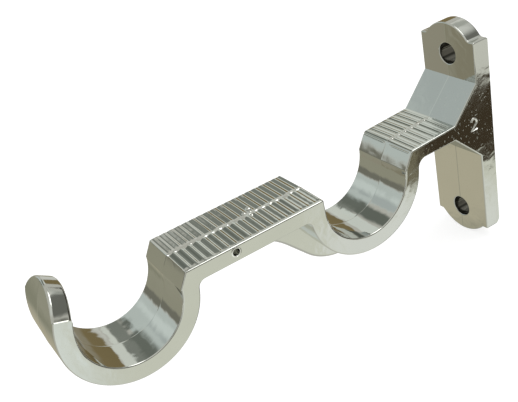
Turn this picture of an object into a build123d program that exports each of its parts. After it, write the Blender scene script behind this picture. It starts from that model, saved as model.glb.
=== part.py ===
"""Double curtain pole bracket: one chrome plated zinc casting with two open cups for 25 mm poles.

Frame, in millimetres: X across the bracket's width, -Y out of the wall into the room, +Z up.
The origin lies on the wall face, at mid width, level with the top of the bar between the cups.
"""

import os
from math import asin, atan2, cos, radians, sin, sqrt, tan

from build123d import *

# Width of the casting
width = 21.0

# Wall plate
plate_thickness = 5.4
upper_end_radius = 10.05
lower_end_radius = 11.8
upper_end_height = 16.85
lower_end_drop = 29.6
upper_shoulder_rise = 5.8
lower_shoulder_fall = 8.1
shoulder_blend = 1.2
upper_back_round = 0.5
lower_back_round = 2.2

# Wall screw holes, each placed from the centre of its end's arc
screw_hole_radius = 3.1
screw_hole_bevel = 0.35
upper_screw_rise = 0.85
lower_screw_fall = 3.8

# Slope, shelf and gusset behind the rear cup
slope_top_height = 10.9
shelf_foot_reach = 14.3
shelf_foot_height = 1.6
shelf_lip_height = 0.8
shelf_underside_drop = 3.2
gusset_corner_reach = 14.6
gusset_foot_drop = 12.1

# Pole cups, with room for a 25 mm pole
seat_radius = 13.5
seat_wall = 5.1
rear_pole_reach = 46.7
pole_spacing = 71.0
pole_drop = 4.05
lip_flare = 2.4
lip_round = 1.4
cup_fillet = 2.0
shelf_fillet = 2.6

# Bar between the cups
bar_thickness = 4.7
bar_rear_round = 0.4
bar_front_round = 0.4

# Web under the bar, in the corner against the rear cup
web_thickness = 9.0
web_corner_offset = 30.5
web_slope = 47.0
web_fillet = 24.0
web_flank = 18.3
web_nose_radius = 15.5
web_nose_turn = 55.0

# Tip that bends back over the front cup, and the step below its domed end
tip_height = 9.7
tip_step_height = 4.0
tip_step_width = 0.5
tip_bend_radius = 25.0

# Ribs across the tops of the bar and the shelf, cast in two halves that don't quite meet
bar_rib_pitch = 2.2
bar_rib_margin = 1.1
bar_groove_width = 1.15
bar_groove_depth = 0.42
shelf_rib_pitch = 2.42
shelf_rib_margin = 1.9
shelf_groove_width = 0.75
shelf_groove_depth = 0.35
lip_groove_drop = 0.7
groove_seam_gap = 0.35
groove_side_gap = 0.5
groove_shift = 0.3

# Small blind hole with a raised rim, in the near side of the bar
side_hole_radius = 0.95
side_hole_depth = 4.0
side_hole_offset = 41.0
side_hole_drop = 1.85
side_rim_radius = 1.35
side_rim_height = 0.15

# Plain raised cavity numeral on the near side of the gusset
numeral_offset = 1.85
numeral_drop = 0.95
numeral_size = 3.9
numeral_width = 2.6
numeral_stroke = 0.55
numeral_relief = 0.3

# Bevel of the long edges on both sides and of the shaped ends
edge_bevel = 0.25

# Overrun of a cut past the face that it opens, and how near counts as lying in a face
clear = 1.0
tolerance = 0.01

front_pole_reach = rear_pole_reach + pole_spacing
seat_outer_radius = seat_radius + seat_wall
seat_level = -pole_drop
crown_top = upper_end_height + upper_end_radius
crown_bottom = -lower_end_drop - lower_end_radius
bar_rear = -rear_pole_reach - seat_radius
bar_front = -front_pole_reach + seat_radius + lip_flare
rear_crease = -rear_pole_reach + seat_radius
front_crease = -front_pole_reach + seat_radius
shelf_lip = rear_crease + lip_flare * (shelf_lip_height + pole_drop) / pole_drop
upper_shoulder = upper_end_height + upper_shoulder_rise
lower_shoulder = -lower_end_drop - lower_shoulder_fall
tip_outer = -front_pole_reach - seat_outer_radius
bend_axis = tip_outer + tip_bend_radius
tip_angle = asin((tip_height - seat_level) / tip_bend_radius)
step_angle = asin((tip_step_height - seat_level) / tip_bend_radius)


def on_bend(radius, angle):
    """A point of the tip at a radius from the axis of its bend and an angle above the cup's level."""
    return (bend_axis - radius * cos(angle), seat_level + radius * sin(angle))


def side_profile():
    """The outline of the casting seen from the side, with -Y as the reach from the wall."""
    cup_centres = ((-rear_pole_reach, seat_level), (-front_pole_reach, seat_level))
    with BuildSketch(Plane.YZ.offset(-width / 2)) as profile:
        # outsides of both cups, cut off level with the top of the bar
        with Locations(*cup_centres):
            Circle(seat_outer_radius)
        with Locations((tip_outer, 0)):
            Rectangle(-tip_outer, seat_outer_radius, align=(Align.MIN, Align.MIN), mode=Mode.SUBTRACT)
        # wall plate, slope, shelf and gusset
        with BuildLine():
            Polyline(
                (0, crown_bottom),
                (0, crown_top),
                (-plate_thickness, crown_top),
                (-plate_thickness, slope_top_height),
                (-shelf_foot_reach, shelf_foot_height),
                (shelf_lip, shelf_lip_height),
                (-rear_pole_reach, shelf_lip_height),
                (-rear_pole_reach, -shelf_underside_drop),
                (-gusset_corner_reach, -shelf_underside_drop),
                (-plate_thickness, -gusset_foot_drop),
                (-plate_thickness, crown_bottom),
                close=True,
            )
        make_face()
        # bar between the cups
        with BuildLine():
            Polyline(
                (-rear_pole_reach, 0),
                (-front_pole_reach, 0),
                (-front_pole_reach, -bar_thickness),
                (-rear_pole_reach, -bar_thickness),
                close=True,
            )
        make_face()
        # open mouth above each seat
        with BuildLine():
            Polyline(
                (bar_rear, seat_level),
                (rear_crease, seat_level),
                (shelf_lip, shelf_lip_height),
                (shelf_lip, crown_top),
                (bar_rear, crown_top),
                close=True,
            )
        make_face(mode=Mode.SUBTRACT)
        with BuildLine():
            Polyline(
                (tip_outer - clear, seat_level),
                (front_crease, seat_level),
                (bar_front, 0),
                (bar_front, crown_top),
                (tip_outer - clear, crown_top),
                close=True,
            )
        make_face(mode=Mode.SUBTRACT)
        with Locations(*cup_centres):
            Circle(seat_radius, mode=Mode.SUBTRACT)
        # tip, bent back over the front cup and a little long until its end is cut
        inner = tip_bend_radius - seat_wall
        outer = tip_bend_radius
        end = tip_angle + clear / tip_bend_radius
        with BuildLine():
            ThreePointArc(on_bend(inner, 0), on_bend(inner, end / 2), on_bend(inner, end))
            Line(on_bend(inner, end), on_bend(outer, end))
            ThreePointArc(on_bend(outer, end), on_bend(outer, end / 2), on_bend(outer, 0))
            Line(on_bend(outer, 0), on_bend(inner, 0))
        make_face()
    return profile.sketch


def web_profile():
    """The web: a long blend from the bar, a straight flank and a nose round the cup's outside."""
    tangent_length = web_fillet * tan(radians(web_slope / 2))
    flank = Vector(cos(radians(web_slope)), -sin(radians(web_slope)))
    corner = Vector(-rear_pole_reach - web_corner_offset, -bar_thickness)
    start = corner - Vector(tangent_length, 0)
    bend = corner + flank * tangent_length
    nose = corner + flank * web_flank
    inside_bar = -bar_thickness / 2
    wall_middle = seat_radius + seat_wall / 2
    with BuildSketch(Plane.YZ.offset(-web_thickness / 2)) as profile:
        with BuildLine():
            JernArc(start, (1, 0), web_fillet, -web_slope)
            Line(bend, nose)
            nose_arc = JernArc(nose, flank, web_nose_radius, web_nose_turn)
            Line(nose_arc @ 1, (-rear_pole_reach, seat_level - wall_middle))
            CenterArc((-rear_pole_reach, seat_level), wall_middle, -90, -90)
            Polyline(
                (-rear_pole_reach - wall_middle, seat_level),
                (-rear_pole_reach - wall_middle, inside_bar),
                (start.X, inside_bar),
                start,
            )
        make_face()
    return profile.sketch


def round_corners(body):
    """Rounds the edges that run across the casting, each found by where it lies."""
    cup_joint = sqrt(seat_outer_radius**2 - (bar_thickness - pole_drop) ** 2)
    shelf_joint = sqrt(seat_outer_radius**2 - (pole_drop - shelf_underside_drop) ** 2)
    corners = (
        ((-rear_pole_reach + shelf_joint, -shelf_underside_drop), shelf_fillet),
        ((-rear_pole_reach - cup_joint, -bar_thickness), cup_fillet),
        ((-front_pole_reach + cup_joint, -bar_thickness), cup_fillet),
        ((shelf_lip, shelf_lip_height), lip_round),
        ((bar_rear, 0), bar_rear_round),
        ((bar_front, 0), bar_front_round),
    )
    for (y, z), radius in corners:
        edge = body.edges().filter_by(Axis.X).sort_by_distance((0, y, z))[0]
        fillet(edge, radius)


def cut_plate_end(centre, radius, shoulder, direction):
    """Cuts an end of the wall plate to an arc seen from the front, with square shoulders beside it."""
    crown = centre + direction * (radius + clear)
    half_chord = sqrt(radius**2 - (shoulder - centre) ** 2)
    with BuildSketch(Plane.XZ.offset(-clear)) as waste:
        with Locations((0, (shoulder + crown) / 2)):
            Rectangle(width + 2 * radius, abs(crown - shoulder))
        with Locations((0, centre)):
            Circle(radius, mode=Mode.SUBTRACT)
        for side in (-1, 1):
            corner = waste.vertices().sort_by_distance((side * half_chord, shoulder, 0))[0]
            fillet(corner, shoulder_blend)
    extrude(waste.sketch, amount=plate_thickness + 2 * clear, mode=Mode.SUBTRACT)


def cut_tip_end():
    """Cuts the bent tip's end to a dome between two small steps, square to the bend all the way through."""
    middle = (step_angle + tip_angle) / 2
    half_dome = width / 2 - tip_step_width
    half_waste = width / 2 + clear
    sections = []
    for distance in (tip_bend_radius - seat_wall - clear, tip_bend_radius + clear):
        crown = distance * tan(tip_angle - middle)
        step = distance * tan(step_angle - middle)
        y, z = on_bend(distance, middle)
        across = Plane(origin=(0, y, z), x_dir=(1, 0, 0), z_dir=(0, -cos(middle), sin(middle)))
        with BuildSketch(across) as section:
            with BuildLine():
                ThreePointArc((-half_dome, step), (0, crown), (half_dome, step))
                Polyline(
                    (half_dome, step),
                    (half_waste, step),
                    (half_waste, crown + 2 * clear),
                    (-half_waste, crown + 2 * clear),
                    (-half_waste, step),
                    (-half_dome, step),
                )
            make_face()
        sections.append(section.sketch.face())
    loft(sections, ruled=True, mode=Mode.SUBTRACT)


def end_edges(body, y):
    """The edges of the wall plate's shaped ends that lie in one of its two faces."""
    in_face = body.edges().filter_by(lambda edge: abs(edge.center().Y - y) < tolerance)
    return in_face.filter_by(lambda edge: edge.center().Z > upper_shoulder - tolerance) + in_face.filter_by(
        lambda edge: edge.center().Z < lower_shoulder + tolerance
    )


def outer_edges(body):
    """The long edges of both sides, save the wall face's, and the edges of the shaped ends."""
    sides = body.faces().filter_by(Axis.X).group_by(Axis.X)
    side_edges = (sides[0].edges() + sides[-1].edges()).filter_by(lambda edge: edge.center().Y < -tolerance)
    across_tip = body.edges().filter_by(lambda edge: edge.center().Y < bend_axis and edge.center().Z > 0)
    dome_edges = across_tip.filter_by(lambda edge: abs(edge.center().X) < tolerance)
    return side_edges + end_edges(body, -plate_thickness) + dome_edges


def groove_row(first, last, pitch):
    """Distances of the grooves' middles from the wall, evenly spaced from first towards last."""
    count = int((last - first) / pitch + 0.5) + 1
    return [first + pitch * index for index in range(count)]


def cut_groove(y, z, tilt, groove_width, groove_depth):
    """Cuts one V groove across a top face, in two halves with a narrow land between them."""
    half_length = width / 2 - groove_seam_gap - groove_side_gap
    along_face = (0, cos(tilt), sin(tilt))
    for start_x, shift in ((-groove_seam_gap - half_length, 0), (groove_seam_gap, groove_shift)):
        with BuildSketch(Plane(origin=(start_x, y - shift, z), x_dir=along_face, z_dir=(1, 0, 0))) as groove:
            with BuildLine():
                Polyline(
                    (-groove_width / 2, 0),
                    (0, -groove_depth),
                    (groove_width / 2, 0),
                    (0, groove_depth),
                    close=True,
                )
            make_face()
        extrude(groove.sketch, amount=half_length, mode=Mode.SUBTRACT)


os.makedirs("parts", exist_ok=True)

outline = side_profile()
web_outline = web_profile()

with BuildPart() as bracket:
    extrude(outline.faces(), amount=width)
    round_corners(bracket)

    # ends of the wall plate and the tip
    cut_plate_end(upper_end_height, upper_end_radius, upper_shoulder, 1)
    cut_plate_end(-lower_end_drop, lower_end_radius, lower_shoulder, -1)
    cut_tip_end()

    # rounded ends of the plate at the wall, then bevelled edges all round
    fillet(end_edges(bracket, 0).filter_by(lambda edge: edge.center().Z > 0), upper_back_round)
    fillet(end_edges(bracket, 0).filter_by(lambda edge: edge.center().Z < 0), lower_back_round)
    chamfer(outer_edges(bracket), edge_bevel)
    extrude(web_outline.faces(), amount=web_thickness)

    # wall screw holes
    plate_front = Plane(origin=(0, -plate_thickness, 0), x_dir=(1, 0, 0), z_dir=(0, -1, 0))
    with Locations(plate_front):
        with Locations((0, upper_end_height + upper_screw_rise), (0, -lower_end_drop - lower_screw_fall)):
            CounterSinkHole(
                screw_hole_radius,
                screw_hole_radius + screw_hole_bevel,
                depth=plate_thickness + clear,
                counter_sink_angle=90,
            )

    # ribs across the bar, the shelf and the shelf's lip
    for reach in groove_row(-bar_rear + bar_rib_margin, -bar_front - bar_rib_margin, bar_rib_pitch):
        cut_groove(-reach, 0, 0, bar_groove_width, bar_groove_depth)
    first_shelf_groove = shelf_foot_reach + shelf_rib_margin
    last_shelf_groove = -shelf_lip - shelf_rib_margin
    shelf_tilt = atan2(shelf_foot_height - shelf_lip_height, -shelf_lip - shelf_foot_reach)
    for reach in groove_row(first_shelf_groove, last_shelf_groove, shelf_rib_pitch):
        shelf_height = shelf_foot_height - tan(shelf_tilt) * (reach - shelf_foot_reach)
        cut_groove(-reach, shelf_height, shelf_tilt, shelf_groove_width, shelf_groove_depth)
    lip_tilt = atan2(shelf_lip_height - seat_level, shelf_lip - rear_crease)
    lip_groove_y = shelf_lip - lip_groove_drop * cos(lip_tilt)
    lip_groove_z = shelf_lip_height - lip_groove_drop * sin(lip_tilt)
    cut_groove(lip_groove_y, lip_groove_z, lip_tilt, shelf_groove_width, shelf_groove_depth)

    # small hole in the bar's near side
    hole_y = -rear_pole_reach - side_hole_offset
    rim_face = Plane(origin=(width / 2, hole_y, -side_hole_drop), x_dir=(0, 1, 0), z_dir=(1, 0, 0))
    with Locations(rim_face):
        Cylinder(side_rim_radius, side_rim_height, align=(Align.CENTER, Align.CENTER, Align.MIN))
    with Locations(rim_face.offset(side_rim_height)):
        Hole(side_hole_radius, depth=side_hole_depth)

    # raised numeral on the gusset
    bowl_radius = (numeral_width - numeral_stroke) / 2
    foot = -(numeral_size - numeral_stroke) / 2
    bowl_height = -foot - bowl_radius
    numeral_face = Plane(
        origin=(width / 2, -plate_thickness - numeral_offset, -numeral_drop), x_dir=(0, 1, 0), z_dir=(1, 0, 0)
    )
    with BuildSketch(numeral_face) as numeral:
        with BuildLine():
            bowl = CenterArc((0, bowl_height), bowl_radius, 165, -205)
            Polyline(bowl @ 1, (-bowl_radius, foot), (bowl_radius, foot))
        trace(line_width=numeral_stroke)
    extrude(numeral.sketch, amount=numeral_relief)

bracket.part.label = "bracket"
export_step(bracket.part, "parts/bracket.step")
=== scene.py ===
"""Chrome plated curtain pole bracket: the finished casting, its studio and the photograph's camera.

The casting's mesh is made in millimetres, in the part's own frame, and scaled to metres at the end.
Frame: X across the bracket's width, -Y out of the wall into the room, +Z up.
"""

import math
import random

import bmesh
import bpy
from mathutils import Matrix, Vector


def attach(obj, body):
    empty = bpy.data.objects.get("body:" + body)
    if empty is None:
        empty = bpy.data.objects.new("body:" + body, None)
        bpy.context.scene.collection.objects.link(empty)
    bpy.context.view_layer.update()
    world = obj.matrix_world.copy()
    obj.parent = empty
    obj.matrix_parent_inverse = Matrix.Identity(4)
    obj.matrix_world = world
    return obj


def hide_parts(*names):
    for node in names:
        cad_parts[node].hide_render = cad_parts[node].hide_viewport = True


MM = 0.001

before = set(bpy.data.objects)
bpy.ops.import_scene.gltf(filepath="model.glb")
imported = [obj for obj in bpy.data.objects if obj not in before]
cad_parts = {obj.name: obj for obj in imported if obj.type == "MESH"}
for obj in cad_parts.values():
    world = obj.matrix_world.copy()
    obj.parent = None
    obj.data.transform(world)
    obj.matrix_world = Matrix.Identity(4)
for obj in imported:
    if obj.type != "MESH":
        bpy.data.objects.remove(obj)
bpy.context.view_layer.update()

# Camera, from the fit to the photograph's outlines: millimetres, degrees and pixels
CAMERA_PLACE = (166.192, -152.533, 106.687)
CAMERA_AZIMUTH = 64.551
CAMERA_ELEVATION = 29.653
CAMERA_ROLL = -13.454
FOCAL_PIXELS = 810.864
PHOTO_WIDTH = 518
SENSOR_WIDTH = 36.0

# Casting, wall plate, slope, shelf and gusset, as in the part's source
HALF_WIDTH = 10.5
PLATE = 5.4
CROWN_TOP = 26.9
CROWN_BOTTOM = -41.4
SHOULDER_BLEND = 1.2
SCREW_HEIGHTS = (17.7, -33.4)
SCREW_RADIUS = 3.1
SLOPE_TOP = 10.9
SHELF_FOOT = (-14.3, 1.6)
LIP_HEIGHT = 0.8
SHELF_UNDER = -3.2
GUSSET_CORNER = -14.6
GUSSET_FOOT = -12.1

# Shaped ends of the plate: height of the dome's middle, its radius, height of the shoulders, rounding at the
# wall, and 1 for up or -1 for down
UPPER_END = (16.85, 10.05, 22.65, 0.5, 1)
LOWER_END = (-29.6, 11.8, -37.7, 2.2, -1)

# Cups, bar and tip
SEAT = 13.5
CUP = 18.6
REAR_CUP = Vector((-46.7, -4.05))
FRONT_CUP = Vector((-117.7, -4.05))
LIP_FLARE = 2.4
LIP_ROUND = 1.4
CREST_ROUND = 0.55
CUP_FILLET = 2.0
SHELF_FILLET = 2.6
BAR_UNDER = -4.7
BEND = 25.0
BEND_AXIS = Vector((-111.3, -4.05))
TIP_TOP = 9.7
TIP_STEP = 4.0
TIP_STEP_WIDTH = 0.5

# Web under the bar
WEB_HALF = 4.5
WEB_CORNER = Vector((-77.2, -4.7))
WEB_SLOPE = math.radians(47)
WEB_FILLET = 24.0
WEB_FLANK = 18.3
WEB_NOSE = 15.5
WEB_NOSE_TURN = math.radians(55)
WEB_EDGE = 1.0
WEB_EDGE_STEPS = 5
WEB_EDGE_TURN = 60

# Casting draft on each half, and the parting ridge between them, uneven along the bar
DRAFT = 0.15
RIDGE = 0.032
RIDGE_HALF = 0.3
RIDGE_SPREAD = (0.4, 4)
BAR_TOP_SLACK = 0.05
WALL_SLACK = 0.01

# Rounding of the edges, and how far what is cut off reaches past the casting
EDGE_ROUND = 0.38
EDGE_STEPS = 4
EDGE_TURN = 30
EDGE_SLACK = 0.1
HOLE_SLACK = 0.2
MERGED = 0.08
TIP_ROUND = 0.9
TIP_STEPS = 5
BACK_STEPS = 6
BACK_OVERLAP = 0.02
OVERRUN = 1.0

# Steps along the arcs and runs of the outlines
LIP_STEPS = 6
CREST_STEPS = 3
SEAT_STEPS = 60
CUP_STEPS = 64
FILLET_STEPS = 8
BEND_STEPS = 12
BAR_STEPS = 36
DOME_STEPS = 48
WEB_STEPS = 16
SCREW_HOLE_SIDES = 64
SIDE_HOLE_SIDES = 40

# Ribs: pitch, depth, narrowness and skew of the grooves, share of their depth that a groove half way between
# two of them has, and steps in a pitch
BAR_MARGIN = 1.1
BAR_GROOVE = (2.2, 0.2, 1, 0.62, 0, 10)
SHELF_MARGIN = 1.9
SHELF_GROOVE = (2.42, 0.19, 9, 0.5, 0.4, 20)

# Shortest and longest run from where a groove starts beside the seam to its full depth
BAR_ENDS = (0.25, 1.0)
SHELF_ENDS = (0.2, 0.6)

# Unevenness of the ribs, where they start and end, and the places across a half at which they are shaped
RIB_JITTER = 0.06
RIB_DEPTHS = (0.8, 1.15)
RIB_START = 0.2
RIB_SIDE_RUN = 0.8
RIB_OVERLAP = 0.3
RIB_CLEAR = 0.05
RIB_SINK = 0.02
RIB_PLACES = [0.2, 0.3, 0.42, 0.56, 0.75, 1.0, 1.4, 2.0, 5.5]
NEAR_RIB_PLACES = [8.4, 9.3, 9.5, 9.7, 9.85, 10.0]
FAR_RIB_PLACES = [8]
SEAM_GAP = 0.35
SIDE_GAP = 0.5
GROOVE_SHIFT = 0.3

# Groove in the shelf's lip: width and depth, and its shape
LIP_GROOVE = (1.0, 0.38)
LIP_GROOVE_DROP = 0.7
GROOVE_STEPS = 10
GROOVE_SPREAD = 1.12
GROOVE_RISE = 1.25
GROOVE_OPEN = 0.8

# Ends of that groove: distance from the end, and lift as a share of the depth
GROOVE_AT_SEAM = [(-0.1, 1.3), (0.1, 0.85), (0.5, 0.5), (1.2, 0.2), (2.4, 0)]
GROOVE_AT_NEAR_SIDE = [(-0.8, 0), (-0.4, 0.2), (-0.1, 0.7), (0.1, 1.3)]
GROOVE_AT_FAR_SIDE = [(-3.0, 0), (0, 0)]

# Small blind hole and its rim, near side. Mouth: distance past the hole's edge, and height over
# the side. Rim: distance past its outer edge and height, and the radius and height at which it ends inside
SIDE_HOLE = (-87.7, -1.85)
SIDE_HOLE_RADIUS = 0.95
SIDE_HOLE_DEPTH = 4.0
HOLE_MOUTH = [(0, -0.05), (0.06, 0.06), (0.26, 0.3)]
SIDE_RIM = 0.42
RIM_EDGE = [(0.12, -0.3), (0.08, 0.04), (-0.1, 0.14)]
RIM_INNER = (0.5, 0.14)

# Numeral on the near side. Bowl: start and end in degrees, and steps
NUMERAL_PLACE = (-7.25, -0.95)
NUMERAL_SIZE = (2.1, 3.6)
NUMERAL_BOWL = (165, -40, 14)
NUMERAL_TUBE = 0.42
NUMERAL_SIDES = 10
NUMERAL_SINK = 0.14

# Burrs on the bar: places in X and Y, and the spheres whose caps they are
BURRS = [(-2.5, -75.9), (-0.7, -76.4), (1.1, -77.0), (-1.1, -78.0)]
BURR_ROUND = 1.2
BURR_SPREAD = (0.75, 1)
BURR_SINK = 0.82
BURR_SEGMENTS = (32, 24)

# Cleaning and shading of the finished mesh
WELDED = 0.002
TINY_EDGE = 0.001
ON_SEAM = 1e-6
SHARP_TURN = 32
NORMAL_WEIGHT = 90

# Plating: colours and roughness. The fades are in millimetres past the bore, the near side and the seat
PLATING_TINTS = ((0.60, 0.605, 0.575, 1), (0.66, 0.665, 0.635, 1))
HAZE_RANGE = (0.3, 0.75)
HAZE_ROUGHNESS = (0.03, 0.09)
# Painted shade: this tint darkens the screw bores as if shadowed inside
BORE_SHADE_TINT = (0.12, 0.115, 0.10, 1)
BORE_ROUGHNESS = 0.14
BORE_FADE = (0.03, 0.12)
# Painted highlight: what stands proud of the near side, the numeral and the rim, is made pale and rougher
PROUD_HIGHLIGHT_TINT = (0.93, 0.93, 0.90, 1)
PROUD_ROUGHNESS = 0.3
PROUD_FADE = (0.01, 0.06)
SEAT_FADE = (0.3, 2)

# Unevenness of the plating: scale, detail and distortion of each noise, then height in metres and strength
CLOUDS = (90, 4)
RIPPLES = (230, 1.5, 0.6)
RIPPLE_BUMP = (0.00004, 1.0)
WAVES = (190, 1.4)
WAVE_BUMP = (0.0001, 1.0)
PITS = (2600, 2)
PIT_BUMP = (0.000004, 0.5)
SPECKS = (1500, 0)
SPECKS_BUMP = (0.00002, 0.8)
SPECKS_RANGE = (0.74, 0.8)
SPECKS_MIDDLE = (10.5, -12.0, -2.0)
SPECKS_REACH = 17.0

# Studio: a floor that is lit and glows up to the background's white, and a lamp. All in metres, but the
# part's middle and the gap under the part are in millimetres
PART_MIDDLE = (0, -65, 0)
FLOOR_HALF = 4.0
FLOOR_GAP = 0.1
FLOOR_GREY = 0.42
FLOOR_GLOW = 0.72
SOFTBOX_HEADING = (75, 66)
SOFTBOX_DISTANCE = 0.8
SOFTBOX_SIZE = (0.5, 0.3)
SOFTBOX_WATTS = 1.2

# Room that the plating mirrors. Each patch: azimuth, elevation, half width, half height, roll and softness,
# all in degrees, and its colour. A later patch covers an earlier one
DOME_RADIUS = 3.0
DOME_SEGMENTS = (48, 24)
ROOM_LIGHT = (0.62, 0.62, 0.57)
ROOM_PATCHES = [
    (14, -38, 48, 24, 0, 3, (0.82, 0.84, 0.73)),
    (-3, -38, 9, 14, 0, 4, (0.98, 1.05, 1.02)),
    (38, -34, 8, 3, 0, 1.5, (0.94, 0.97, 0.92)),
    (0, 6, 34, 19, 0, 4, (0.12, 0.12, 0.10)),
    (44, -18, 9, 5.5, 0, 1.0, (0.76, 0.77, 0.70)),
    (88, -14, 38, 42, 0, 2, (0.06, 0.055, 0.045)),
    (72, 42, 40, 13, 0, 3, (0.19, 0.195, 0.175)),
    (20, 66, 90, 20, 0, 6, (0.80, 0.82, 0.78)),
    (118, 44, 14, 12, 0, 4, (0.50, 0.52, 0.48)),
    (113, 39, 17, 3.5, -18, 1.5, (0.80, 0.81, 0.76)),
    (200, -24, 44, 26, 0, 4, (0.38, 0.375, 0.29)),
    (196, -19, 11, 8, 0, 3, (0.29, 0.29, 0.215)),
    (188, -33, 12, 5, 0, 4, (0.46, 0.43, 0.32)),
    (222, -31, 8, 4, 0, 2, (0.60, 0.56, 0.42)),
    (219, -22, 3, 4, 0, 1, (0.38, 0.36, 0.28)),
    (225.5, -22, 3, 4, 0, 1, (0.31, 0.29, 0.21)),
    (222, 4, 16, 5, 0, 2, (0.22, 0.22, 0.18)),
    (206, 26, 26, 16, 0, 2, (0.64, 0.71, 0.69)),
    (214, 24, 8, 5, 0, 3, (0.76, 0.84, 0.82)),
    (218, 37, 13, 5, 0, 2, (0.53, 0.59, 0.585)),
    (180, 46, 16, 8, 0, 5, (0.17, 0.19, 0.165)),
    (176, 38, 11, 4, 0, 2, (0.18, 0.20, 0.175)),
    (165, 33, 9, 7, 0, 2, (0.26, 0.28, 0.25)),
    (149, 35, 12, 5.5, 42, 1.2, (0.80, 0.85, 0.80)),
    (151, 27, 5.8, 6, 0, 1.2, (0.80, 0.84, 0.78)),
    (141, 0, 7.5, 20, 0, 1.0, (0.24, 0.19, 0.095)),
    (156, 4, 6.5, 15, 0, 1.5, (0.72, 0.73, 0.68)),
    (148, -14, 6, 8, 0, 4, (0.31, 0.28, 0.20)),
    (154, -27, 7, 5, 0, 3, (0.13, 0.12, 0.08)),
    (43.5, -26.3, 9, 2.9, 11, 0.4, (0.06, 0.045, 0.027)),
    (37, -28.5, 2.2, 1.8, 0, 0.6, (0.22, 0.20, 0.13)),
]

random.seed(7)


def arc(centre, radius, start, end, count):
    """Points of an arc from one angle to another, in degrees, both ends among them."""
    points = []
    for index in range(count + 1):
        angle = math.radians(start + (end - start) * index / count)
        points.append(Vector((centre[0] + radius * math.cos(angle), centre[1] + radius * math.sin(angle))))
    return points


def rounded(before, corner, after, radius, count):
    """Points that round a corner between two straight runs."""
    corner = Vector(corner)
    back = (Vector(before) - corner).normalized()
    ahead = (Vector(after) - corner).normalized()
    half = back.angle(ahead) / 2
    centre = corner + (back + ahead).normalized() * (radius / math.sin(half))
    start = corner + back * (radius / math.tan(half))
    end = corner + ahead * (radius / math.tan(half))
    turn = (start - centre).angle_signed(end - centre)
    points = []
    for index in range(count + 1):
        spoke = (start - centre).copy()
        spoke.rotate(Matrix.Rotation(-turn * index / count, 2))
        points.append(centre + spoke)
    return points


def fillet_on_cup(cup, level, radius, side):
    """The fillet from a flat underside to a cup's outside, and the angle at which it meets the cup."""
    z = level - radius
    reach = math.sqrt((CUP + radius) ** 2 - (z - cup.y) ** 2)
    centre = Vector((cup.x + side * reach, z))
    to_cup = (cup - centre).normalized()
    start = 90
    end = math.degrees(math.atan2(to_cup.y, to_cup.x))
    if side > 0:
        end = end % 360
    return arc(centre, radius, start, end, FILLET_STEPS), math.degrees(math.atan2(-to_cup.y, -to_cup.x))


def on_bend(radius, angle):
    """A place on the bent tip, from its distance and its turn round the bend's axis."""
    return BEND_AXIS + radius * Vector((-math.cos(angle), math.sin(angle)))


STEP_ANGLE = math.asin((TIP_STEP - BEND_AXIS.y) / BEND)
TIP_ANGLE = math.asin((TIP_TOP - BEND_AXIS.y) / BEND)
REAR_CREASE = REAR_CUP.x + SEAT
FRONT_CREASE = FRONT_CUP.x + SEAT
LIP = REAR_CREASE + LIP_FLARE * (LIP_HEIGHT - REAR_CUP.y) / -REAR_CUP.y
BAR_REAR = REAR_CUP.x - SEAT
BAR_FRONT = FRONT_CREASE + LIP_FLARE


def side_outline():
    """The closed outline of the casting in Y and Z, once round from the foot of the wall face."""
    end = TIP_ANGLE + 2 * OVERRUN / BEND
    shelf_fillet, shelf_angle = fillet_on_cup(REAR_CUP, SHELF_UNDER, SHELF_FILLET, 1)
    rear_fillet, rear_angle = fillet_on_cup(REAR_CUP, BAR_UNDER, CUP_FILLET, -1)
    front_fillet, front_angle = fillet_on_cup(FRONT_CUP, BAR_UNDER, CUP_FILLET, 1)
    points = [Vector((0, CROWN_BOTTOM - OVERRUN)), Vector((0, CROWN_TOP + OVERRUN))]
    points += [Vector((-PLATE, CROWN_TOP + OVERRUN)), Vector((-PLATE, SLOPE_TOP)), Vector(SHELF_FOOT)]
    points += rounded(SHELF_FOOT, (LIP, LIP_HEIGHT), (REAR_CREASE, REAR_CUP.y), LIP_ROUND, LIP_STEPS)
    points += arc(REAR_CUP, SEAT, 0, -180, SEAT_STEPS)
    points += rounded((BAR_REAR, REAR_CUP.y), (BAR_REAR, 0), (BAR_FRONT, 0), CREST_ROUND, CREST_STEPS)
    for index in range(1, BAR_STEPS):
        points.append(Vector((BAR_REAR + (BAR_FRONT - BAR_REAR) * index / BAR_STEPS, 0)))
    points += rounded((BAR_REAR, 0), (BAR_FRONT, 0), (FRONT_CREASE, FRONT_CUP.y), CREST_ROUND, CREST_STEPS)
    points += arc(FRONT_CUP, SEAT, 0, -180, SEAT_STEPS)[:-1]
    points += [on_bend(BEND - CUP + SEAT, end * index / BEND_STEPS) for index in range(BEND_STEPS + 1)]
    points += [on_bend(BEND, end * (1 - index / BEND_STEPS)) for index in range(BEND_STEPS)]
    points += arc(FRONT_CUP, CUP, 180, 360 + front_angle, CUP_STEPS)
    points += front_fillet[::-1][1:]
    points += rear_fillet
    points += arc(REAR_CUP, CUP, rear_angle % 360, 360 + shelf_angle, CUP_STEPS)[1:]
    points += shelf_fillet[::-1][1:]
    points += [Vector((GUSSET_CORNER, SHELF_UNDER)), Vector((-PLATE, GUSSET_FOOT))]
    points += [Vector((-PLATE, CROWN_BOTTOM - OVERRUN))]
    return points


def outward(points, index):
    """How a corner of an outline moves when the outline grows by one unit, by two units at most."""
    before = (points[index] - points[index - 1]).normalized()
    after = (points[(index + 1) % len(points)] - points[index]).normalized()
    side = Vector((before.y, -before.x)) + Vector((after.y, -after.x))
    side.normalize()
    return side / max(0.5, side.dot(Vector((before.y, -before.x))))


def loop_area(points):
    """The area inside an outline, negative where it runs clockwise."""
    total = 0
    for index, point in enumerate(points):
        other = points[(index + 1) % len(points)]
        total += point.x * other.y - other.x * point.y
    return total / 2


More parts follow.
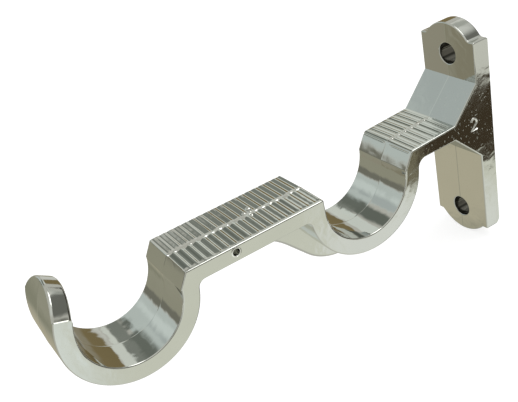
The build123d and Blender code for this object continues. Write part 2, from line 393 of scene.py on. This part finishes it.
def stations():
    """Places across the width, each with how far the outline shrinks there to round the edges."""
    side = []
    for index in range(EDGE_STEPS + 1):
        angle = math.pi / 2 * index / EDGE_STEPS
        side.append((HALF_WIDTH - EDGE_ROUND * (1 - math.sin(angle)), EDGE_ROUND * (1 - math.cos(angle))))
    far = [(-x, shrink) for x, shrink in side[::-1]]
    return far + [(-RIDGE_HALF, 0), (0, 0), (RIDGE_HALF, 0)] + side


def drafted_rows(points):
    """The outline at stations across the width, with rounded sides, draft on each half and the ridge."""
    sign = 1 if loop_area(points) > 0 else -1
    rows = []
    for x, shrink in stations():
        draft = DRAFT * max(0, abs(x) - RIDGE_HALF) / (HALF_WIDTH - RIDGE_HALF)
        row = []
        for index, point in enumerate(points):
            swell = -draft - shrink
            if x == 0:
                swell = RIDGE
                if abs(point.y) < BAR_TOP_SLACK and BAR_FRONT < point.x < BAR_REAR:
                    swell = RIDGE * random.uniform(*RIDGE_SPREAD)
            if point.x > -WALL_SLACK:
                swell = 0
            moved = point + sign * outward(points, index) * swell
            row.append((x, moved.x, moved.y))
        rows.append(row)
    return rows


def mesh_object(name, vertices, faces):
    mesh = bpy.data.meshes.new(name)
    mesh.from_pydata(vertices, [], faces)
    shape = bmesh.new()
    shape.from_mesh(mesh)
    bmesh.ops.recalc_face_normals(shape, faces=shape.faces)
    shape.to_mesh(mesh)
    shape.free()
    made = bpy.data.objects.new(name, mesh)
    bpy.context.scene.collection.objects.link(made)
    return made


def object_from(name, shape):
    """A new object in the scene with a bmesh as its mesh."""
    mesh = bpy.data.meshes.new(name)
    shape.to_mesh(mesh)
    shape.free()
    made = bpy.data.objects.new(name, mesh)
    bpy.context.scene.collection.objects.link(made)
    return made


def solid_from_rows(name, rows):
    """A closed solid between rows of equal length, each a closed loop, with a cap at each end."""
    count = len(rows[0])
    vertices = [point for row in rows for point in row]
    faces = [list(range(count)), list(range((len(rows) - 1) * count, len(rows) * count))]
    for row in range(len(rows) - 1):
        this = row * count
        following = this + count
        for index in range(count):
            other = (index + 1) % count
            faces.append([this + index, this + other, following + other, following + index])
    return mesh_object(name, vertices, faces)


def joined(objects):
    """Several separate meshes as one object."""
    shape = bmesh.new()
    for piece in objects:
        shape.from_mesh(piece.data)
        bpy.data.objects.remove(piece)
    return object_from("joined", shape)


def boolean(piece, other, operation):
    """Cuts another object off a piece or joins it to the piece, and removes the other."""
    step = piece.modifiers.new(operation, "BOOLEAN")
    step.object = other
    step.operation = operation
    step.solver = "EXACT"
    graph = bpy.context.evaluated_depsgraph_get()
    mesh = bpy.data.meshes.new_from_object(piece.evaluated_get(graph))
    piece.modifiers.clear()
    piece.data = mesh
    bpy.data.objects.remove(other)


def bevel(piece, size, segments, limit, chosen=None):
    """Rounds a piece's edges that turn by more than a limit: all of them, or those in a chosen place.

    Corners that nearly touch in a chosen place are merged first.
    """
    shape = bmesh.new()
    shape.from_mesh(piece.data)
    if chosen:
        near = [vertex for vertex in shape.verts if chosen(vertex.co)]
        bmesh.ops.remove_doubles(shape, verts=near, dist=MERGED)
        bmesh.ops.dissolve_degenerate(shape, edges=shape.edges, dist=TINY_EDGE)
    edges = [edge for edge in shape.edges if edge.calc_face_angle(0) > math.radians(limit)]
    if chosen:
        edges = [edge for edge in edges if chosen((edge.verts[0].co + edge.verts[1].co) / 2)]
    bmesh.ops.bevel(
        shape, geom=edges, offset=size, segments=segments, profile=0.5, affect="EDGES", clamp_overlap=False
    )
    shape.to_mesh(piece.data)
    shape.free()


def on_shaped_end(place):
    """Whether a place is on the plate's shaped ends or its screw holes."""
    if place.y <= -PLATE - EDGE_SLACK:
        return False
    if place.z > UPPER_END[2] - EDGE_SLACK or place.z < LOWER_END[2] + EDGE_SLACK:
        return True
    reach = SCREW_RADIUS + HOLE_SLACK
    return any(Vector((place.x, place.z - height)).length < reach for height in SCREW_HEIGHTS)


def end_outline(centre, radius, shoulder, blend, direction):
    """The outline of what is cut off round one shaped end of the wall plate."""
    blend_z = shoulder + direction * blend
    blend_x = math.sqrt((radius + blend) ** 2 - (blend_z - centre) ** 2)
    touch = math.degrees(math.atan2(abs(blend_z - centre), blend_x))
    side = arc((blend_x, blend), blend, -90, touch - 180, FILLET_STEPS)
    side = [Vector((point.x, shoulder + direction * point.y)) for point in side]
    dome = arc((0, 0), radius, touch, 180 - touch, DOME_STEPS)[1:-1]
    dome = [Vector((point.x, centre + direction * point.y)) for point in dome]
    wide = HALF_WIDTH + OVERRUN
    top = shoulder + direction * (radius + 4 * OVERRUN)
    outline = [Vector((wide, shoulder))] + side + dome
    outline += [Vector((-point.x, point.y)) for point in side[::-1]]
    return outline + [Vector((-wide, shoulder)), Vector((-wide, top)), Vector((wide, top))]


def plate_end_waste(centre, radius, shoulder, back_round, direction):
    """What is cut off above or below a shaped end of the wall plate, with its edge at the wall rounded."""
    steps = [(-PLATE - OVERRUN, 0)]
    for index in range(BACK_STEPS + 1):
        angle = math.pi / 2 * index / BACK_STEPS
        steps.append((back_round * (math.sin(angle) - 1), back_round * (1 - math.cos(angle))))
    steps.append((OVERRUN, back_round + BACK_OVERLAP))
    rows = []
    for y, shrink in steps:
        end = shoulder - direction * shrink
        outline = end_outline(centre, radius - shrink, end, SHOULDER_BLEND + shrink, direction)
        rows.append([(point.x, y, point.y) for point in outline])
    return solid_from_rows("waste", rows)


def tip_waste():
    """What is cut off round the domed end of the bent tip, with the dome's edges rounded."""
    middle = (STEP_ANGLE + TIP_ANGLE) / 2
    half_dome = HALF_WIDTH - TIP_STEP_WIDTH
    half_waste = HALF_WIDTH + OVERRUN
    inner = BEND - CUP + SEAT
    steps = [(inner - OVERRUN, TIP_ROUND)]
    for index in range(TIP_STEPS + 1):
        angle = math.pi / 2 * index / TIP_STEPS
        steps.append((inner + TIP_ROUND * (1 - math.cos(angle)), TIP_ROUND * (1 - math.sin(angle))))
    steps += [(inner + BEND - distance, shrink) for distance, shrink in steps[::-1]]
    rows = []
    for distance, shrink in steps:
        rise = distance * (math.tan(TIP_ANGLE - middle) - math.tan(STEP_ANGLE - middle))
        radius = (half_dome**2 + rise**2) / (2 * rise)
        crown = distance * math.tan(TIP_ANGLE - middle)
        ledge = crown - rise - shrink
        end = math.degrees(math.asin((ledge - crown + radius) / (radius - shrink)))
        outline = arc((0, crown - radius), radius - shrink, 180 - end, end, DOME_STEPS)
        outline.append(Vector((half_waste, ledge)))
        outline.append(Vector((half_waste, crown + 3 * OVERRUN)))
        outline.append(Vector((-half_waste, crown + 3 * OVERRUN)))
        outline.append(Vector((-half_waste, ledge)))
        foot = on_bend(distance, middle)
        up = Vector((math.sin(middle), math.cos(middle)))
        rows.append([(point.x, foot.x + up.x * point.y, foot.y + up.y * point.y) for point in outline])
    return solid_from_rows("waste", rows)


def web_solid():
    """The web under the bar, with rounded edges."""
    tangent = WEB_FILLET * math.tan(WEB_SLOPE / 2)
    start = WEB_CORNER - Vector((tangent, 0))
    flank = Vector((math.cos(WEB_SLOPE), -math.sin(WEB_SLOPE)))
    nose = WEB_CORNER + flank * WEB_FLANK
    nose_centre = nose + WEB_NOSE * Vector((math.sin(WEB_SLOPE), math.cos(WEB_SLOPE)))
    wall = (CUP + SEAT) / 2
    slope = math.degrees(WEB_SLOPE)
    turn = math.degrees(WEB_NOSE_TURN)
    points = arc(start - Vector((0, WEB_FILLET)), WEB_FILLET, 90, 90 - slope, WEB_STEPS)
    points += arc(nose_centre, WEB_NOSE, -90 - slope, -90 - slope + turn, WEB_STEPS)
    points += arc(REAR_CUP, wall, -90, -180, WEB_STEPS)
    points += [Vector((REAR_CUP.x - wall, BAR_UNDER / 2)), Vector((start.x, BAR_UNDER / 2))]
    rows = [[(x, point.x, point.y) for point in points] for x in (-WEB_HALF, WEB_HALF)]
    web = solid_from_rows("web", rows)
    bevel(web, WEB_EDGE, WEB_EDGE_STEPS, WEB_EDGE_TURN)
    return web


def turned(profile, place, axis, count):
    """A solid turned from a profile of radius and height about a line along X or Y."""
    rows = []
    for radius, height in profile:
        row = []
        for index in range(count):
            angle = 2 * math.pi * index / count
            around = (radius * math.cos(angle), radius * math.sin(angle))
            if axis == "Y":
                row.append((place[0] + around[0], place[1] + height, place[2] + around[1]))
            else:
                row.append((place[0] + height, place[1] + around[0], place[2] + around[1]))
        rows.append(row)
    return solid_from_rows("turned", rows)


def screw_hole(height):
    profile = [(SCREW_RADIUS, -PLATE - OVERRUN), (SCREW_RADIUS, OVERRUN)]
    return turned(profile, (0, 0, height), "Y", SCREW_HOLE_SIDES)


def side_rim():
    """The slightly raised and bevelled rim round the small hole."""
    outer = SIDE_HOLE_RADIUS + SIDE_RIM
    profile = [(outer + more, height) for more, height in RIM_EDGE] + [RIM_INNER]
    return turned(profile, (HALF_WIDTH, *SIDE_HOLE), "X", SIDE_HOLE_SIDES)


def side_hole():
    """The small blind hole, with a bevelled mouth."""
    profile = [(SIDE_HOLE_RADIUS, -SIDE_HOLE_DEPTH)]
    profile += [(SIDE_HOLE_RADIUS + more, height) for more, height in HOLE_MOUTH]
    return turned(profile, (HALF_WIDTH, *SIDE_HOLE), "X", SIDE_HOLE_SIDES)


def smooth_step(value):
    value = min(1, max(0, value))
    return value * value * (3 - 2 * value)


def between(marks, values, place):
    """The value at a place between marks, on straight runs."""
    if place <= marks[0]:
        return values[0]
    for index in range(len(marks) - 1):
        if place <= marks[index + 1]:
            share = (place - marks[index]) / (marks[index + 1] - marks[index])
            return values[index] + share * (values[index + 1] - values[index])
    return values[-1]


def hollow_at(phase, narrowness, skew, second):
    """How deep the ribbing is at a phase of its pitch, from 0 on a crest to 1 in a groove's bottom.

    The second groove lies half way between two, and has a share of their depth.
    """
    place = phase + 0.5
    if place < skew:
        turn = place / skew / 2
    else:
        turn = 0.5 + (place - skew) / (1 - skew) / 2
    main = ((1 - math.cos(2 * math.pi * turn)) / 2) ** narrowness
    half_way = ((1 + math.cos(2 * math.pi * turn)) / 2) ** narrowness
    return main + second * half_way


def ribbed_waste(start, tilt, marks, ribbing, ends, half, shift):
    """What is cut off one half of a top face to leave ribs, which fade out at the seam and the near side."""
    pitch, depth, narrowness, skew, second, count = ribbing
    along = Vector((-math.cos(tilt), -math.sin(tilt)))
    normal = Vector((-math.sin(tilt), math.cos(tilt)))
    marks = [mark + shift + random.uniform(-RIB_JITTER, RIB_JITTER) for mark in marks]
    depths = [depth * random.uniform(*RIB_DEPTHS) for mark in marks]
    runs = [random.uniform(*ends) for mark in marks]
    steps = [marks[0] - pitch / 2 - RIB_OVERLAP]
    for mark in marks:
        steps += [mark + pitch * (index / count - 0.5) for index in range(count)]
    steps += [marks[-1] + pitch / 2, marks[-1] + pitch / 2 + RIB_OVERLAP]
    places = RIB_PLACES + (NEAR_RIB_PLACES if half > 0 else FAR_RIB_PLACES) + [HALF_WIDTH + OVERRUN]
    rows = []
    for x in places:
        row = []
        for index, step in enumerate(steps):
            nearest = min(range(len(marks)), key=lambda other: abs(marks[other] - step))
            phase = min(0.5, max(-0.5, (step - marks[nearest]) / pitch))
            hollow = hollow_at(phase, narrowness, skew, second)
            fade = smooth_step((x - RIB_START) / between(marks, runs, step))
            if half > 0:
                fade *= smooth_step((HALF_WIDTH - SIDE_GAP - x) / RIB_SIDE_RUN)
            if index in (0, len(steps) - 1):
                fade = 0
            level = RIB_CLEAR - (RIB_CLEAR + RIB_SINK + between(marks, depths, step) * hollow) * fade
            point = start + along * step + normal * (level - DRAFT * min(x, HALF_WIDTH) / HALF_WIDTH)
            row.append((half * x, point.x, point.y))
        for step in (steps[-1], steps[0]):
            point = start + along * step + normal
            row.append((half * x, point.x, point.y))
        rows.append(row)
    return solid_from_rows("ribs", rows)


def groove(middle_y, middle_z, tilt, size, half, shift):
    """What is cut off for a rounded groove across one half of the lip. It runs out at its closed ends."""
    width, depth = size
    along = Vector((math.cos(tilt), math.sin(tilt)))
    normal = Vector((-along.y, along.x))
    if half > 0:
        last, side_end = HALF_WIDTH - SIDE_GAP, GROOVE_AT_NEAR_SIDE
    else:
        last, side_end = HALF_WIDTH + OVERRUN, GROOVE_AT_FAR_SIDE
    places = [(SEAM_GAP + more, lift) for more, lift in GROOVE_AT_SEAM]
    places += [(last + more, lift) for more, lift in side_end]
    rows = []
    for x, lift in places:
        base = Vector((middle_y - shift, middle_z)) - normal * (DRAFT * x / HALF_WIDTH - depth * lift)
        row = []
        for index in range(GROOVE_STEPS + 1):
            u = 2 * index / GROOVE_STEPS - 1
            sink = normal * depth * (1 - GROOVE_RISE * u * u)
            point = base + along * (u * GROOVE_SPREAD * width / 2) - sink
            row.append((half * x, point.x, point.y))
        for u in (1, -1):
            point = base + along * (u * GROOVE_SPREAD * width / 2) + normal * GROOVE_OPEN
            row.append((half * x, point.x, point.y))
        rows.append(row)
    return solid_from_rows("groove", rows)


def row_of(first, last, pitch):
    """Evenly spaced marks from a first one to the one nearest a last."""
    count = int((last - first) / pitch + 0.5) + 1
    return [first + pitch * index for index in range(count)]


def ribs():
    """All that is cut off for the ribs of the bar and the shelf and for the groove in the shelf's lip."""
    tilt = math.atan2(SHELF_FOOT[1] - LIP_HEIGHT, SHELF_FOOT[0] - LIP)
    lip_tilt = math.atan2(LIP_HEIGHT - REAR_CUP.y, LIP - REAR_CREASE)
    y = LIP - LIP_GROOVE_DROP * math.cos(lip_tilt)
    z = LIP_HEIGHT - LIP_GROOVE_DROP * math.sin(lip_tilt)
    bar_marks = row_of(BAR_MARGIN, BAR_REAR - BAR_FRONT - BAR_MARGIN, BAR_GROOVE[0])
    shelf_marks = row_of(SHELF_MARGIN, SHELF_FOOT[0] - LIP - SHELF_MARGIN, SHELF_GROOVE[0])
    bar = (Vector((BAR_REAR, 0)), 0, bar_marks, BAR_GROOVE, BAR_ENDS)
    shelf = (Vector(SHELF_FOOT), tilt, shelf_marks, SHELF_GROOVE, SHELF_ENDS)
    waste = []
    for half, shift in ((-1, 0), (1, GROOVE_SHIFT)):
        waste.append(ribbed_waste(*bar, half, shift))
        waste.append(ribbed_waste(*shelf, half, shift))
        waste.append(groove(y, z, lip_tilt, LIP_GROOVE, half, shift))
    return joined(waste)


def tube(points, radius, upright, sides):
    """A round tube along a line in a plane, closed at both ends. Upright is the plane's normal."""
    rows = []
    for index, point in enumerate(points):
        before = points[max(0, index - 1)]
        after = points[min(len(points) - 1, index + 1)]
        across = (after - before).normalized().cross(upright)
        row = []
        for step in range(sides):
            angle = 2 * math.pi * step / sides
            row.append(point + radius * (math.cos(angle) * across + math.sin(angle) * upright))
        rows.append([tuple(corner) for corner in row])
    return solid_from_rows("tube", rows)


def numeral():
    """A small raised 2, drawn with one stroke."""
    width, height = NUMERAL_SIZE
    bowl = width / 2
    foot = -height / 2
    line = arc((0, height / 2 - bowl), bowl, *NUMERAL_BOWL)
    line += [Vector((-bowl, foot)), Vector((bowl, foot))]
    x = HALF_WIDTH - NUMERAL_SINK
    path = [Vector((x, NUMERAL_PLACE[0] + point.x, NUMERAL_PLACE[1] + point.y)) for point in line]
    return tube(path, NUMERAL_TUBE, Vector((1, 0, 0)), NUMERAL_SIDES)


def burrs():
    """Small round burrs close together on the bar's ribs, each the cap of a sunken sphere."""
    shape = bmesh.new()
    around, up = BURR_SEGMENTS
    for x, y in BURRS:
        radius = BURR_ROUND * random.uniform(*BURR_SPREAD)
        middle = Matrix.Translation((x, y, -BURR_SINK * radius))
        bmesh.ops.create_uvsphere(shape, u_segments=around, v_segments=up, radius=radius, matrix=middle)
    return object_from("burrs", shape)


def casting():
    """The whole bracket as one closed mesh, in millimetres."""
    body = solid_from_rows("bracket_casting", drafted_rows(side_outline()))
    ends = [plate_end_waste(*UPPER_END), plate_end_waste(*LOWER_END), tip_waste()]
    boolean(body, joined(ends + [screw_hole(height) for height in SCREW_HEIGHTS]), "DIFFERENCE")
    boolean(body, web_solid(), "UNION")
    boolean(body, ribs(), "DIFFERENCE")
    boolean(body, joined([side_rim(), numeral(), burrs()]), "UNION")
    boolean(body, side_hole(), "DIFFERENCE")
    bevel(body, EDGE_ROUND, EDGE_STEPS, EDGE_TURN, on_shaped_end)
    return body


def finish_mesh(piece):
    """Millimetres to metres, then smooth shading that keeps flat faces flat and the parting line sharp."""
    mesh = piece.data
    shape = bmesh.new()
    shape.from_mesh(mesh)
    bmesh.ops.remove_doubles(shape, verts=shape.verts, dist=WELDED)
    bmesh.ops.dissolve_degenerate(shape, edges=shape.edges, dist=TINY_EDGE)
    bmesh.ops.scale(shape, vec=(MM, MM, MM), verts=shape.verts)
    for edge in shape.edges:
        on_seam = all(abs(vertex.co.x) < ON_SEAM for vertex in edge.verts)
        turn = edge.calc_face_angle(0)
        edge.smooth = not (on_seam or turn > math.radians(SHARP_TURN))
    for face in shape.faces:
        face.smooth = True
    shape.to_mesh(mesh)
    shape.free()
    step = piece.modifiers.new("normals", "WEIGHTED_NORMAL")
    step.keep_sharp = True
    step.mode = "FACE_AREA"
    step.weight = NORMAL_WEIGHT


def make_camera():
    """The photograph's camera, turned about its own line of sight by the roll."""
    azimuth = math.radians(CAMERA_AZIMUTH)
    elevation = math.radians(CAMERA_ELEVATION)
    roll = math.radians(CAMERA_ROLL)
    right = Vector((math.cos(azimuth), math.sin(azimuth), 0))
    back = Vector(
        (
            math.sin(azimuth) * math.cos(elevation),
            -math.cos(azimuth) * math.cos(elevation),
            math.sin(elevation),
        )
    )
    up = back.cross(right)
    rolled_right = math.cos(roll) * right + math.sin(roll) * up
    rolled_up = -math.sin(roll) * right + math.cos(roll) * up
    data = bpy.data.cameras.new("camera")
    data.sensor_width = SENSOR_WIDTH
    data.sensor_fit = "HORIZONTAL"
    data.lens = FOCAL_PIXELS / PHOTO_WIDTH * SENSOR_WIDTH
    data.clip_start = 0.01
    camera = bpy.data.objects.new("camera", data)
    bpy.context.scene.collection.objects.link(camera)
    turn = Matrix((rolled_right, rolled_up, back)).transposed().to_4x4()
    camera.matrix_world = Matrix.Translation(Vector(CAMERA_PLACE) * MM) @ turn
    bpy.context.scene.camera = camera


def make_world():
    """Plain white all round, as the background and as soft light."""
    world = bpy.data.worlds.new("studio")
    world.use_nodes = True
    bpy.context.scene.world = world
    background = world.node_tree.nodes["Background"]
    background.inputs["Color"].default_value = (1, 1, 1, 1)
    background.inputs["Strength"].default_value = 1.0


def feed(tree, socket, value):
    """Gives a socket its value, which is another socket, a number, a vector or a colour."""
    if isinstance(value, bpy.types.NodeSocket):
        tree.links.new(value, socket)
    else:
        socket.default_value = value


def maths(tree, operation, *values):
    step = tree.nodes.new("ShaderNodeMath")
    step.operation = operation
    for socket, value in zip(step.inputs, values):
        feed(tree, socket, value)
    return step.outputs[0]


def vector_maths(tree, operation, *values):
    step = tree.nodes.new("ShaderNodeVectorMath")
    step.operation = operation
    for socket, value in zip(step.inputs, values):
        feed(tree, socket, value)
    return step.outputs["Value" if operation in ("LENGTH", "DISTANCE") else "Vector"]


def split(tree, vector):
    """The three parts of a vector, by the names X, Y and Z."""
    step = tree.nodes.new("ShaderNodeSeparateXYZ")
    tree.links.new(vector, step.inputs[0])
    return step.outputs


def faded(tree, value, start, end, smooth=True, result=(0, 1)):
    """Runs from one result to the other as a value goes from start to end. The end may be the lower one."""
    step = tree.nodes.new("ShaderNodeMapRange")
    if smooth:
        step.interpolation_type = "SMOOTHSTEP"
    step.inputs["From Min"].default_value = start
    step.inputs["From Max"].default_value = end
    step.inputs["To Min"].default_value = result[0]
    step.inputs["To Max"].default_value = result[1]
    tree.links.new(value, step.inputs["Value"])
    return step.outputs[0]


def mixed(tree, share, under, over):
    """A colour or a number with a plain one laid over it by a share."""
    mix = tree.nodes.new("ShaderNodeMix")
    if isinstance(over, tuple):
        mix.data_type = "RGBA"
    feed(tree, mix.inputs["Factor"], share)
    feed(tree, mix.inputs["A"], under)
    feed(tree, mix.inputs["B"], over)
    return mix.outputs["Result"]


def noise(tree, place, scale, detail, distortion=0):
    texture = tree.nodes.new("ShaderNodeTexNoise")
    texture.inputs["Scale"].default_value = scale
    texture.inputs["Detail"].default_value = detail
    texture.inputs["Distortion"].default_value = distortion
    tree.links.new(place, texture.inputs["Vector"])
    return texture.outputs["Fac"]


def bumped(tree, height, distance, strength, under=None):
    """The surface's direction with a height laid on it, over another unevenness if there is one."""
    step = tree.nodes.new("ShaderNodeBump")
    step.inputs["Strength"].default_value = strength
    step.inputs["Distance"].default_value = distance
    tree.links.new(height, step.inputs["Height"])
    if under is not None:
        tree.links.new(under, step.inputs["Normal"])
    return step.outputs[0]


def stage_material(name):
    """A new material with nothing but its output, and the tree and the surface socket to build on."""
    material = bpy.data.materials.new(name)
    material.use_nodes = True
    tree = material.node_tree
    tree.nodes.clear()
    output = tree.nodes.new("ShaderNodeOutputMaterial")
    return material, tree, output.inputs["Surface"]


def make_floor():
    """A plain white floor just under the plate. It keeps a soft shadow and is as white as the background.

    The plating doesn't mirror it, because the surroundings take its place there.
    """
    level = (CROWN_BOTTOM - FLOOR_GAP) * MM
    corners = [(x * FLOOR_HALF, y * FLOOR_HALF, level) for x, y in ((-1, -1), (1, -1), (1, 1), (-1, 1))]
    floor = mesh_object("floor", corners, [(0, 1, 2, 3)])
    floor.visible_glossy = False
    material, tree, surface = stage_material("floor_white")
    diffuse = tree.nodes.new("ShaderNodeBsdfDiffuse")
    diffuse.inputs["Color"].default_value = (FLOOR_GREY, FLOOR_GREY, FLOOR_GREY, 1)
    path = tree.nodes.new("ShaderNodeLightPath")
    seen = maths(tree, "MAXIMUM", path.outputs["Is Camera Ray"], path.outputs["Is Glossy Ray"])
    seen = maths(tree, "MAXIMUM", seen, path.outputs["Is Transmission Ray"])
    glow = tree.nodes.new("ShaderNodeEmission")
    feed(tree, glow.inputs["Strength"], maths(tree, "MULTIPLY", seen, FLOOR_GLOW))
    both = tree.nodes.new("ShaderNodeAddShader")
    tree.links.new(diffuse.outputs[0], both.inputs[0])
    tree.links.new(glow.outputs[0], both.inputs[1])
    tree.links.new(both.outputs[0], surface)
    floor.data.materials.append(material)


def heading_of(azimuth, elevation):
    """A direction from its azimuth round from +X and its elevation, both in degrees."""
    turn = math.radians(azimuth)
    rise = math.radians(elevation)
    return Vector((math.cos(turn) * math.cos(rise), math.sin(turn) * math.cos(rise), math.sin(rise)))


def make_softbox():
    """One soft lamp overhead, which also puts the bright lines on the rounded edges."""
    lamp = bpy.data.lights.new("softbox", "AREA")
    lamp.shape = "RECTANGLE"
    lamp.size, lamp.size_y = SOFTBOX_SIZE
    lamp.energy = SOFTBOX_WATTS
    box = bpy.data.objects.new("softbox", lamp)
    bpy.context.scene.collection.objects.link(box)
    heading = heading_of(*SOFTBOX_HEADING)
    box.location = Vector(PART_MIDDLE) * MM + heading * SOFTBOX_DISTANCE
    box.rotation_euler = (-heading).to_track_quat("-Z", "Y").to_euler()


def dome_angles(tree):
    """Azimuth and elevation on the dome in degrees, as one vector."""
    where = tree.nodes.new("ShaderNodeTexCoord").outputs["Object"]
    centred = vector_maths(tree, "SUBTRACT", where, Vector(PART_MIDDLE) * MM)
    parts = split(tree, vector_maths(tree, "NORMALIZE", centred))
    both = tree.nodes.new("ShaderNodeCombineXYZ")
    turn = maths(tree, "ARCTAN2", maths(tree, "MULTIPLY", parts["X"], -1), parts["Y"])
    tree.links.new(turn, both.inputs["X"])
    tree.links.new(maths(tree, "ARCSINE", parts["Z"]), both.inputs["Y"])
    in_degrees = (180 / math.pi, 180 / math.pi, 0)
    return vector_maths(tree, "MULTIPLY_ADD", both.outputs[0], in_degrees, (90, 0, 0))


def patch(tree, place, under, centre, half_size, roll, soft, tone):
    """Paints one soft-edged patch of the room over what lies under it."""
    fitted = tree.nodes.new("ShaderNodeMapping")
    fitted.vector_type = "TEXTURE"
    fitted.inputs["Location"].default_value = (*centre, 0)
    fitted.inputs["Rotation"].default_value = (0, 0, math.radians(roll))
    fitted.inputs["Scale"].default_value = (*half_size, 1)
    tree.links.new(place, fitted.inputs["Vector"])
    parts = split(tree, vector_maths(tree, "ABSOLUTE", fitted.outputs[0]))
    shares = []
    for axis, half in zip(("X", "Y"), half_size):
        spread = soft / half
        shares.append(faded(tree, parts[axis], 1 + spread, max(0, 1 - spread)))
    return mixed(tree, maths(tree, "MULTIPLY", *shares), under, (*tone, 1))


def make_surroundings():
    """The room that the plating mirrors: soft patches on a wide dome that only reflections see."""
    shape = bmesh.new()
    around, up = DOME_SEGMENTS
    bmesh.ops.create_uvsphere(shape, u_segments=around, v_segments=up, radius=DOME_RADIUS)
    bmesh.ops.translate(shape, vec=Vector(PART_MIDDLE) * MM, verts=shape.verts)
    for face in shape.faces:
        face.smooth = True
    dome = object_from("surroundings", shape)
    dome.visible_camera = False
    dome.visible_diffuse = False
    dome.visible_shadow = False
    dome.visible_volume_scatter = False
    material, tree, surface = stage_material("surroundings")
    place = dome_angles(tree)
    colour = (*ROOM_LIGHT, 1)
    for azimuth, elevation, wide, high, roll, soft, tone in ROOM_PATCHES:
        colour = patch(tree, place, colour, (azimuth, elevation), (wide, high), roll, soft, tone)
    glow = tree.nodes.new("ShaderNodeEmission")
    tree.links.new(colour, glow.inputs["Color"])
    tree.links.new(glow.outputs[0], surface)
    dome.data.materials.append(material)


def near_lines(tree, parts, axes, lines, inner, outer):
    """1 near any of some lines along one axis, up to an inner radius, and 0 from an outer radius on."""
    total = None
    for line in lines:
        off = tree.nodes.new("ShaderNodeCombineXYZ")
        for socket, axis, middle in zip(("X", "Y"), axes, line):
            tree.links.new(maths(tree, "SUBTRACT", parts[axis], middle * MM), off.inputs[socket])
        radius = vector_maths(tree, "LENGTH", off.outputs[0])
        near = faded(tree, radius, outer * MM, inner * MM)
        total = near if total is None else maths(tree, "ADD", total, near)
    return total


def chrome_material():
    """Bright plating over a slightly uneven casting, with fine pits and hazier patches all over.

    The screw bores are rougher and darkened with painted shade, the cups mirror more unevenly, coarser
    specks lie round the gusset, and what stands proud of the near side is rougher and pale, a painted
    highlight.
    """
    material = bpy.data.materials.new("chrome_plate")
    material.use_nodes = True
    tree = material.node_tree
    shader = tree.nodes["Principled BSDF"]
    shader.inputs["Metallic"].default_value = 1.0
    place = tree.nodes.new("ShaderNodeTexCoord").outputs["Object"]
    parts = split(tree, place)

    screws = [(0, height) for height in SCREW_HEIGHTS]
    cups = (REAR_CUP, FRONT_CUP)
    bore = near_lines(tree, parts, ("X", "Z"), screws, *(SCREW_RADIUS + past for past in BORE_FADE))
    in_cup = near_lines(tree, parts, ("Y", "Z"), cups, *(SEAT + past for past in SEAT_FADE))
    proud_start, proud_end = [(HALF_WIDTH + height) * MM for height in PROUD_FADE]
    proud = faded(tree, parts["X"], proud_start, proud_end, smooth=False)

    clouds = noise(tree, place, *CLOUDS)
    tint = mixed(tree, clouds, PLATING_TINTS[0], PLATING_TINTS[1])
    # Painted shade: the screw bores' base colour is darkened
    tint_and_bore_shade = mixed(tree, bore, tint, BORE_SHADE_TINT)
    # Painted highlight: what stands proud of the near side gets a pale base colour
    tree.links.new(mixed(tree, proud, tint_and_bore_shade, PROUD_HIGHLIGHT_TINT), shader.inputs["Base Color"])
    haze = faded(tree, clouds, *HAZE_RANGE, smooth=False, result=HAZE_ROUGHNESS)
    rough = mixed(tree, bore, haze, BORE_ROUGHNESS)
    tree.links.new(mixed(tree, proud, rough, PROUD_ROUGHNESS), shader.inputs["Roughness"])

    ripples = bumped(tree, noise(tree, place, *RIPPLES), *RIPPLE_BUMP)
    waves = maths(tree, "SUBTRACT", noise(tree, place, *WAVES), 0.5)
    waved = bumped(tree, maths(tree, "MULTIPLY", waves, in_cup), *WAVE_BUMP, ripples)
    pitted = bumped(tree, noise(tree, place, *PITS), *PIT_BUMP, waved)
    dots = faded(tree, noise(tree, place, *SPECKS), *SPECKS_RANGE)
    apart = vector_maths(tree, "DISTANCE", place, Vector(SPECKS_MIDDLE) * MM)
    near = faded(tree, apart, SPECKS_REACH * MM, SPECKS_REACH / 3 * MM)
    specked = bumped(tree, maths(tree, "MULTIPLY", dots, near), *SPECKS_BUMP, pitted)
    tree.links.new(specked, shader.inputs["Normal"])
    return material


make_camera()
make_world()
make_floor()
make_softbox()
make_surroundings()
bracket = casting()
finish_mesh(bracket)
bracket.data.materials.clear()
bracket.data.materials.append(chrome_material())
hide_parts("bracket")
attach(bracket, "root")

view = bpy.context.scene.view_settings
view.view_transform = "Standard"
